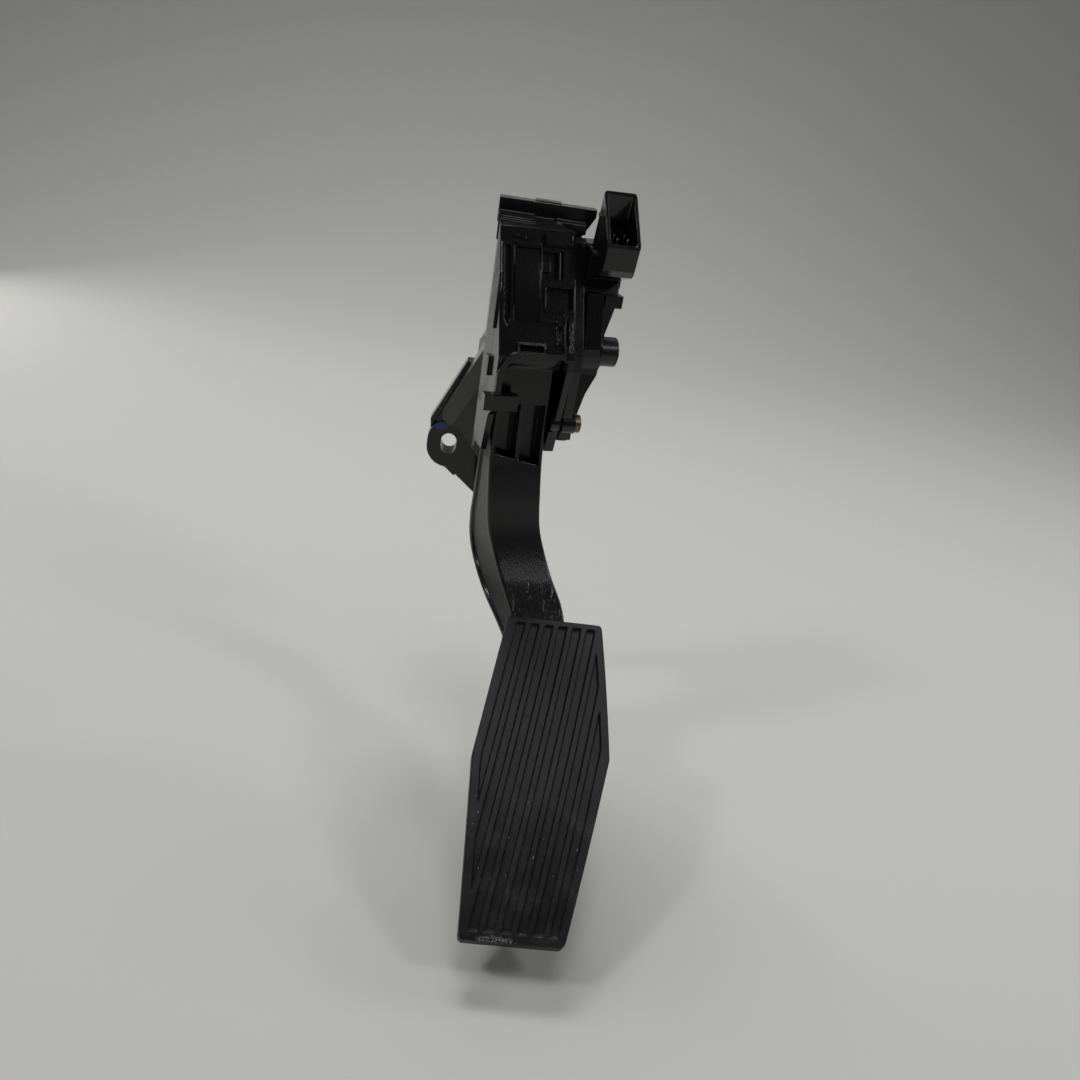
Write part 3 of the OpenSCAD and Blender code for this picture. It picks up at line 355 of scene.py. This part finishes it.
dust_and_glints_on_pad(MATS["pad_rubber"])
for part in frame["record"]["subparts"]:
    o = frame["nodes"][part["node"]]
    o.data.materials.clear()
    o.data.materials.append(MATS[part["material_slot"]])

# Meshes

CREASE = math.radians(36)


def add_piece(name, pieces, material, body, *replaced):
    """Joins (points in row millimetres, faces) pairs into one smooth object that rides a body.

    Where the sum of a shape's signed tetrahedra is negative, its faces are turned round.
    """
    verts, faces, base = [], [], 0
    for pts, polys in pieces:
        pts = np.asarray(pts, float).reshape(-1, 3)
        volume = sum(np.dot(pts[f[0]], np.cross(pts[f[k]], pts[f[k + 1]]))
                     for f in polys for k in range(1, len(f) - 1))
        faces += [tuple(base + i for i in (f if volume > 0 else f[::-1])) for f in polys]
        verts.append(pts)
        base += len(pts)
    mesh = bpy.data.meshes.new(name)
    mesh.from_pydata((np.concatenate(verts) * MM).tolist(), [], faces)
    mesh.polygons.foreach_set("use_smooth", np.ones(len(faces), dtype=bool))
    mesh.set_sharp_from_angle(angle=CREASE)
    mesh.materials.append(MATS[material])
    o = bpy.data.objects.new(name, mesh)
    bpy.context.scene.collection.objects.link(o)
    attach(o, body)
    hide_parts(*replaced)


def tube(loops, ring=False):
    """Closed loops joined one after another; the ends are capped unless they join into a ring."""
    n, m = loops.shape[:2]
    faces = [(i * m + k, i * m + (k + 1) % m, (i + 1) % n * m + (k + 1) % m, (i + 1) % n * m + k)
             for i in range(n if ring else n - 1) for k in range(m)]
    if not ring:
        faces += [tuple(range(m - 1, -1, -1)), tuple(range((n - 1) * m, n * m))]
    return loops.reshape(-1, 3), faces


def to_row(p):
    """Body frame to row frame, in mm: a turn about the upright, then a shift to the pivot."""
    p = np.asarray(p, float)
    c, s = math.cos(TURN), math.sin(TURN)
    x, y = c * p[..., 0] - s * p[..., 1], s * p[..., 0] + c * p[..., 1]
    return np.stack([x + PIVOT[0], y + PIVOT[1], p[..., 2]], -1)


# The pad's own frame: x across, y up the face from its upper edge, z out of the face (mm)
SLOPE = math.radians(34.8)
PAD_TOP = np.array([24.2, -81.1, -104.9])
PAD_L, CROWN = 130.0, 260.0
SAG = CROWN - math.sqrt(CROWN ** 2 - PAD_L ** 2 / 4)
# Each long edge: distance down the pad, place across, and how an inset grows by the slant
LEFT_EDGE = ((0, 63.96, PAD_L), (-20.3, -30.0, -28.2), 1.006)
RIGHT_EDGE = ((0, 60.97, PAD_L), (19.6, 23.2, 10.3), 1.01)
GROOVE_LEAN = math.tan(math.radians(9.4))
GROOVES, PITCH, GROOVE_DEPTH = 9, 5.9, 1.3
FIRST_GROOVE = 10.55 - (GROOVES - 3) * PITCH
# Half a groove's width at its bottom and at its mouth, and where it fades in from the border
HALF_BOTTOM, HALF_MOUTH = 1.4, 2.05
FADE_START, FADE_STOP = 3.1, 3.7
ROLL = 0.9
# Depths under the crowned face, and insets from the outline
SKIN, SKIRT, SKIRT_WALL = 4.5, 7.0, 2.2
CARRIER_TOP, CARRIER_INSET, CARRIER_CORNER = 4.6, 2.3, 0.5
RIB_X = (-14, -5, 4, 13)
RIB_INSET, RIB_HALF, RIB_TOP, RIB_LEAST = 5.2, 0.9, 6.8, 0.5
# Height of the ribs' lower edge by the distance down the pad
RIB_LOW = ((0, 45.5, PAD_L), (-20, -20, -9.5))


def pad_to_row(p):
    """Pad frame to row frame: a tilt about the pad's upper edge."""
    c, s = math.cos(SLOPE), math.sin(SLOPE)
    y, z = c * p[..., 1] - s * p[..., 2], s * p[..., 1] + c * p[..., 2]
    return np.stack([p[..., 0], y, z], -1) + PAD_TOP


def row_to_pad(p):
    """Row frame to pad frame: the same tilt turned back."""
    p = p - PAD_TOP
    c, s = math.cos(SLOPE), math.sin(SLOPE)
    return np.stack([p[..., 0], c * p[..., 1] + s * p[..., 2], c * p[..., 2] - s * p[..., 1]], -1)


def crown_z(y, depth):
    """Height of the crowned face less a depth: an arc of radius CROWN - depth about the middle."""
    return SAG - CROWN + np.sqrt((CROWN - depth) ** 2 - (y + PAD_L / 2) ** 2)


def pad_sides(y, inset, corner):
    """Left and right edge at a height.

    Each is two straight runs that meet at the waist, moved in by the inset. Near the ends a
    quarter circle of the corner's radius takes it further in.
    """
    left = np.interp(-y, *LEFT_EDGE[:2]) + inset * LEFT_EDGE[2]
    right = np.interp(-y, *RIGHT_EDGE[:2]) - inset * RIGHT_EDGE[2]
    end = np.clip(np.minimum(-y - inset, PAD_L - inset + y), 0, corner)
    cut = corner - np.sqrt(np.maximum(corner ** 2 - (corner - end) ** 2, 0))
    return left + cut, right - cut


def pad_sheet(inset, depth, corner, rows, columns, relief=None):
    """A grid over the pad's outline on one crowned surface, finer at its borders.

    The height is crown_z of the depth, less the relief at each point where one is given.
    """
    ends = inset + np.array([0, 0.05, 0.15, 0.35, 0.7, 1.2, 1.8])
    middle = np.linspace(ends[-1] + 0.5, PAD_L - ends[-1] - 0.5, rows)
    y = -np.concatenate([ends, middle, PAD_L - ends[::-1]])
    side = np.array([0, 0.002, 0.005, 0.011, 0.02])
    share = np.concatenate([side, np.linspace(0.026, 0.974, columns), 1 - side[::-1]])
    lo, hi = pad_sides(y, inset, corner)
    x = lo[:, None] + (hi - lo)[:, None] * share[None, :]
    yy = np.repeat(y[:, None], len(share), 1)
    z = crown_z(yy, depth)
    if relief:
        z = z - relief(x, yy, lo[:, None], hi[:, None])
    return np.stack([x, yy, z], -1)


def rim(grid):
    """The border of a grid in order."""
    return np.concatenate([grid[0, :-1], grid[:-1, -1], grid[-1, :0:-1], grid[:0:-1, 0]])


def shell(top, bottom, rings):
    """Two grids of the same size joined at their borders through rings of points."""
    nr, nc = top.shape[:2]
    n = nr * nc
    ids = np.arange(n).reshape(nr, nc)
    quads = np.stack([ids[:-1, :-1], ids[:-1, 1:], ids[1:, 1:], ids[1:, :-1]], -1).reshape(-1, 4)
    faces = [tuple(q) for q in quads.tolist()] + [tuple(q[::-1]) for q in (quads + n).tolist()]
    border = rim(ids)
    m = len(border)
    between = [2 * n + k * m + np.arange(m) for k in range(len(rings))]
    levels = [border] + between + [border + n]
    for a, b in zip(levels[:-1], levels[1:]):
        faces += [(int(a[(k + 1) % m]), int(a[k]), int(b[k]), int(b[(k + 1) % m]))
                  for k in range(m)]
    return np.concatenate([top.reshape(-1, 3), bottom.reshape(-1, 3)] + list(rings)), faces


def smooth(x, a, b):
    """A soft step from 0 at a to 1 at b: 3 t^2 - 2 t^3 of the share t of the way."""
    t = np.clip((x - a) / (b - a), 0, 1)
    return t * t * (3 - 2 * t)


def tread(x, y, lo, hi):
    """How far the face drops at a point: the roll of its rim and the grooves.

    The roll is a quarter circle at the border. A groove is at each PITCH across, measured
    along lines that lean by GROOVE_LEAN, and fades out before the border.
    """
    edge = np.minimum(np.minimum(x - lo, hi - x), np.minimum(-y, PAD_L + y))
    roll = ROLL - np.sqrt(np.maximum(ROLL ** 2 - (ROLL - np.clip(edge, 0, ROLL)) ** 2, 0))
    across = x - (y + PAD_L / 2) * GROOVE_LEAN - FIRST_GROOVE
    k = np.clip(np.round(across / PITCH), 0, GROOVES - 1)
    groove = 1 - smooth(np.abs(across - k * PITCH), HALF_BOTTOM, HALF_MOUTH)
    return roll + GROOVE_DEPTH * groove * smooth(edge, FADE_START, FADE_STOP)


def pad_cover():
    """Tread, skirt and hollow underside of the pad as one closed shell.

    The rings between the two grids go down the outside of the skirt, round its lower edge and
    up its inside. Each is a border at a depth, moved in by a share of the wall's width.
    """
    rows, columns = ((230, 205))
    top = pad_sheet(0, 0, 1.9, rows, columns, tread)
    under = pad_sheet(SKIRT_WALL, SKIN, 1.2, rows, columns)
    outer, inner = rim(top), rim(under)
    rings = []
    for src, depth, share in ((outer, 1.4, 0), (outer, SKIRT - 0.3, 0), (outer, SKIRT, 0.1),
                              (inner, SKIRT, 0), (inner, SKIRT - 1.0, 0)):
        r = src.copy()
        r[:, 2] = crown_z(r[:, 1], depth)
        r[:, :2] += (inner[:, :2] - outer[:, :2]) * share
        rings.append(r)
    pts, faces = shell(top, under, rings)
    add_piece("moulded_pad", [(pad_to_row(pts), faces)], "pad_rubber", "pedal_body", "pad_cover")


# The arm in the body frame (mm): front and rear line as (back, up), and at the same steps
# the side step of the front and of the rear as shares of SIDE_STEP, and the half width
FRONT = np.array([[-9.3, 0], [-9.3, -38], [-12, -62], [-12.6, -76], [-15.4, -86], [-21.5, -95],
                  [-33.2, -105.5], [-46, -116], [-62, -126], [-112.1, -155]])
REAR = np.array([[7, 0], [7, -40], [8.6, -68], [10.9, -80], [10, -90], [3.5, -98.5],
                 [-12, -107], [-30, -120], [-52, -134], [-112.1, -163]])
SIDES = np.array([[0, 0, 11.5], [0, 0, 11.5], [0.1, 0, 11.5], [0.26, 0.04, 11.5],
                  [0.49, 0.1, 11.5], [0.72, 0.2, 11.5], [1, 0.37, 11.5], [1.05, 0.7, 9.5],
                  [0.9, 0.8, 8], [-0.3, -0.3, 8]])
STEPS = len(FRONT) - 1
SIDE_STEP = 12.0
ARM_HALF = 11.5
BEAM_TOP = -6.6
CHANNEL_TOP, CHANNEL_END, CHANNEL_DEPTH = -22.0, -43.0, 7.0
CHANNEL_RIB, CHANNEL_HALF = 0.95, 9.7
# The face's points lean at the channel's lower end: by this many steps over this width
LEAN_STEPS, LEAN_WIDTH = 0.24, 28.0
HUB_LEFT, HUB_L, HUB_R, HUB_BORE, HUB_EDGE = -9.4, 22.5, 11.5, 5.03, 0.4
COLLAR_R = 9.0
TAIL = ((7, 4), (31, 4), (31, -2.5), (28, -4), (8, -6.6))
TAIL_X = (-4, 12.4)


def curve(points, t):
    """A smooth curve through evenly numbered points, the same that the solid arm follows.

    Between two points it is the cubic whose slope at each is half the way from the point
    before it to the point after it.
    """
    i = np.clip(np.floor(t).astype(int), 0, len(points) - 2)
    u = (t - i)[..., None]
    a, b = points[np.maximum(i - 1, 0)], points[i]
    c, d = points[i + 1], points[np.minimum(i + 2, len(points) - 1)]
    return (b + u / 2 * (c - a) + u ** 2 / 2 * (2 * a - 5 * b + 4 * c - d)
            + u ** 3 / 2 * (3 * b - a - 3 * c + d))


def arm_loop():
    """The arm's section as (across, depth, 1 if that is from the rear).

    It goes along the face, round the right bead, over the stepped web and round the back
    flange, and then the same mirrored.
    """
    def arc(x, d, r, a0, a1):
        angles = np.radians(np.linspace(a0, a1, 6))
        return [(x + r * math.cos(a), d + r * math.sin(a)) for a in angles]

    face = [-9.85, -9.6, -7.5, -5.3, -3, -1.05, -0.8, 0.8, 1.05, 3, 5.3, 7.5, 9.6, 9.85]
    step = [(11.5, 2.3), (11.42, 2.65), (11.1, 2.85), (10.8, 3.0), (10.62, 3.25), (10.6, 3.8)]
    right = [(x, d, 0) for x, d in arc(10.4, 1.1, 1.1, -90, 0) + step]
    back = [(x, d, 1) for x, d in step[::-1] + arc(10.7, 0.8, 0.8, 0, -90)]
    half = right + back + [(8, 0, 1), (4, 0, 1)]
    mirror = [(-x, d, r) for x, d, r in half[::-1]]
    return np.array([(x, 0, 0) for x in face] + half + [(0, 0, 1)] + mirror)


def arm_beam():
    """The arm from its hub to the pad.

    The section is swept down two curves: a point lies at a share of the way from the front
    curve to the rear one, and across by its part of the half width and the side step at that
    share. The channel pushes the face in, the collar pushes near points out, and where the
    beam meets the pad it is cut off under the pad's skin.
    """
    loop = arm_loop()
    fine = np.linspace(0, STEPS, 4001)
    height_of = curve(FRONT, fine)[:, 1]

    def step_at(z):
        return np.interp(z, height_of[::-1], fine[::-1])

    main = np.linspace(step_at(BEAM_TOP), STEPS, 190)
    ends = np.array([end + shift for end in (CHANNEL_TOP, CHANNEL_END) for shift in (0.1, -0.15)])
    t = np.sort(np.concatenate([main, step_at(ends)]))
    tt = np.repeat(t[:, None], len(loop), 1)
    across, depth, rear = loop[None, :, 0], loop[None, :, 1], loop[None, :, 2]
    z = np.interp(tt, fine, height_of)
    lean = smooth(z, -58, -46) * (1 - smooth(z, -40, -27)) * (depth < 2) * (rear == 0)
    leaned = tt + lean * LEAN_STEPS * (across + ARM_HALF) / LEAN_WIDTH
    f, r, s = curve(FRONT, leaned), curve(REAR, leaned), curve(SIDES, leaned)
    thick = np.linalg.norm(r - f, axis=-1)
    hollow = ((z < CHANNEL_TOP) & (z > CHANNEL_END) & (np.abs(across) < CHANNEL_HALF)
              & (np.abs(across) > CHANNEL_RIB) & (rear == 0) & (depth == 0))
    depth = depth + CHANNEL_DEPTH * hollow
    share = np.where(rear == 1, 1 - depth / thick, depth / thick)
    p = f + share[..., None] * (r - f)
    aside = s[..., 0] + share * (s[..., 1] - s[..., 0])
    x = across * s[..., 2] / ARM_HALF + SIDE_STEP * aside
    body = np.stack([x, p[..., 0], p[..., 1]], -1)
    # Room for the bearing collar on the left
    radius = np.hypot(body[..., 1], body[..., 2])
    push = np.where((x < HUB_LEFT) & (radius < COLLAR_R), COLLAR_R / radius, 1.0)
    body[..., 1:] *= push[..., None]
    # Under the skin inside the skirt, and under the skirt's edge elsewhere
    q = row_to_pad(to_row(body)).reshape(-1, 3)
    inside = CARRIER_INSET - 0.05
    lo, hi = pad_sides(q[:, 1], inside, CARRIER_CORNER)
    at_skirt = (q[:, 0] < lo) | (q[:, 0] > hi) | (q[:, 1] > -inside)
    limit = crown_z(q[:, 1], np.where(at_skirt, SKIRT + 0.1, CARRIER_TOP))
    q[:, 2] = np.where(q[:, 1] < 0.35, np.minimum(q[:, 2], limit), q[:, 2])
    return tube(pad_to_row(q).reshape(body.shape))


def lathe_x(profile, x_first, n=72):
    """A ring about the pivot axis: an outline of (along, radius) points at n turns round it."""
    a = np.linspace(0, 2 * math.pi, n, endpoint=False)
    prof = np.array(profile)
    along = np.repeat(prof[None, :, 0] + x_first, n, 0)
    y, z = np.outer(np.cos(a), prof[:, 1]), np.outer(np.sin(a), prof[:, 1])
    return to_row(np.stack([along, y, z], -1))


def extrude_x(outline, ends):
    """A side outline (back, up) carried from one end to the other along x in the body frame."""
    o = np.array(outline, float)
    return to_row(np.stack([np.column_stack([np.full(len(o), x), o]) for x in ends]))


def pad_rib(x_middle):
    """A rib under the carrier that leans with the grooves, kept inside the pad's outline.

    Its upper edge follows the crowned face. Its lower edge is RIB_LOW, but at least
    RIB_LEAST under the upper one.
    """
    y = -np.linspace(RIB_INSET, PAD_L - RIB_INSET, 60)
    x = x_middle + y * GROOVE_LEAN
    lo, hi = pad_sides(y, RIB_INSET, CARRIER_CORNER)
    keep = (x > lo) & (x < hi)
    y, x = y[keep], x[keep]
    high = crown_z(y, RIB_TOP)
    low = np.minimum(np.interp(-y, *RIB_LOW), high - RIB_LEAST)
    corners = ((-RIB_HALF, low), (RIB_HALF, low), (RIB_HALF, high), (-RIB_HALF, high))
    return tube(pad_to_row(np.stack([np.stack([x + w, y, h], -1) for w, h in corners], 1)))


def pedal_arm():
    """Beam, hub, tail, the carrier under the pad and its ribs, which replace the plain arm."""
    shoulder, hub_end = HUB_R - HUB_EDGE, HUB_L - HUB_EDGE
    hub = [(0, HUB_BORE), (0, shoulder), (HUB_EDGE, HUB_R), (hub_end, HUB_R), (HUB_L, shoulder),
           (HUB_L, HUB_BORE)]
    top, under = (pad_sheet(CARRIER_INSET, depth, CARRIER_CORNER, 60, 24)
                  for depth in (CARRIER_TOP, SKIRT))
    pts, faces = shell(top, under, [])
    pieces = [arm_beam(), tube(lathe_x(hub, HUB_LEFT), True), tube(extrude_x(TAIL, TAIL_X)),
              (pad_to_row(pts), faces)]
    pieces += [pad_rib(x) for x in RIB_X]
    add_piece("moulded_arm", pieces, "arm_plastic", "pedal_body", "pedal_arm")


pad_cover()
pedal_arm()

# Studio (m)

FLOOR = -0.2
CURVE_R, CURVE_Y = 0.9, 0.7
SHEET_FRONT, SHEET_TOP, SHEET_HALF = -4.0, 3.0, 5.0
PAPER = (0.46, 0.457, 0.437, 1)


def studio_sheet():
    """A pale sheet: a level floor, a quarter circle up behind the part, and an upright back."""
    a = np.linspace(-math.pi / 2, 0, 24)
    bend = [(CURVE_Y + CURVE_R * math.cos(v), FLOOR + CURVE_R + CURVE_R * math.sin(v)) for v in a]
    side = [(SHEET_FRONT, FLOOR)] + bend + [(CURVE_Y + CURVE_R, SHEET_TOP)]
    verts = [(x, y, z) for y, z in side for x in (-SHEET_HALF, SHEET_HALF)]
    strips = range(len(side) - 1)
    mesh = bpy.data.meshes.new("studio_sheet")
    mesh.from_pydata(verts, [], [(2 * i, 2 * i + 1, 2 * i + 3, 2 * i + 2) for i in strips])
    mesh.polygons.foreach_set("use_smooth", np.ones(len(strips), dtype=bool))
    o = bpy.data.objects.new("studio_sheet", mesh)
    bpy.context.scene.collection.objects.link(o)
    m, _, bsdf = new_material("studio paper")
    bsdf.inputs["Base Color"].default_value = PAPER
    bsdf.inputs["Roughness"].default_value = 0.9
    bsdf.inputs["Specular IOR Level"].default_value = 0.2
    mesh.materials.append(m)


studio_sheet()

AIM = (0, -0.08, -0.03)
# Name, place, target, size and power in watts
LIGHTS = (
    ("top light", (-0.15, 0.5, 0.95), AIM, (0.6, 0.3), 9),
    ("left light", (-0.7, 0.6, 0.02), AIM, (0.35, 0.3), 1.2),
    ("right light", (0.8, 0.15, 0.4), AIM, (0.15, 0.4), 1.6),
    ("left front light", (-0.65, -0.35, 0.75), AIM, (0.14, 0.14), 2.2),
    ("right front light", (0.6, -0.4, 0.55), AIM, (0.1, 0.2), 1.5),
    ("room light", (0.0, -0.6, 3.6), (0, 0.4, 0.2), (1.2, 1.2), 32),
)


def area(name, place, target, size, power):
    """A soft rectangular light aimed at a point."""
    d = bpy.data.lights.new(name, "AREA")
    d.shape = "RECTANGLE"
    d.size, d.size_y = size
    d.energy = power
    o = bpy.data.objects.new(name, d)
    o.location = place
    way = mathutils.Vector(np.array(target) - np.array(place))
    o.rotation_euler = way.to_track_quat("-Z", "Y").to_euler()
    bpy.context.scene.collection.objects.link(o)


for light in LIGHTS:
    area(*light)

world = bpy.data.worlds.new("studio")
bpy.context.scene.world = world
world.use_nodes = True
sky = world.node_tree.nodes["Background"]
sky.inputs["Color"].default_value = (0.9, 0.92, 0.95, 1)
sky.inputs["Strength"].default_value = 0.05

# The camera's place and ways, worked out from edges in the photograph that run together
EYE = (-0.024, -0.4706, 0.1076)
EYE_RIGHT = (0.989, -0.0257, 0.1455)
EYE_AHEAD = (0.0841, 0.9074, -0.4118)


def photo_camera():
    """The camera: right and ahead made square to each other and of length one, up from both."""
    cam = bpy.data.cameras.new("photo camera")
    cam.lens = 35.33
    cam.sensor_width = 36
    cam.clip_start = 0.01
    right = np.array(EYE_RIGHT)
    right /= np.linalg.norm(right)
    ahead = np.array(EYE_AHEAD)
    ahead -= right * (ahead @ right)
    ahead /= np.linalg.norm(ahead)
    m = np.eye(4)
    m[:3, 0], m[:3, 1], m[:3, 2], m[:3, 3] = right, np.cross(right, ahead), -ahead, EYE
    o = bpy.data.objects.new("photo camera", cam)
    o.matrix_world = mathutils.Matrix(m.tolist())
    bpy.context.scene.collection.objects.link(o)
    bpy.context.scene.camera = o


photo_camera()
bpy.context.scene.view_settings.view_transform = "Standard"
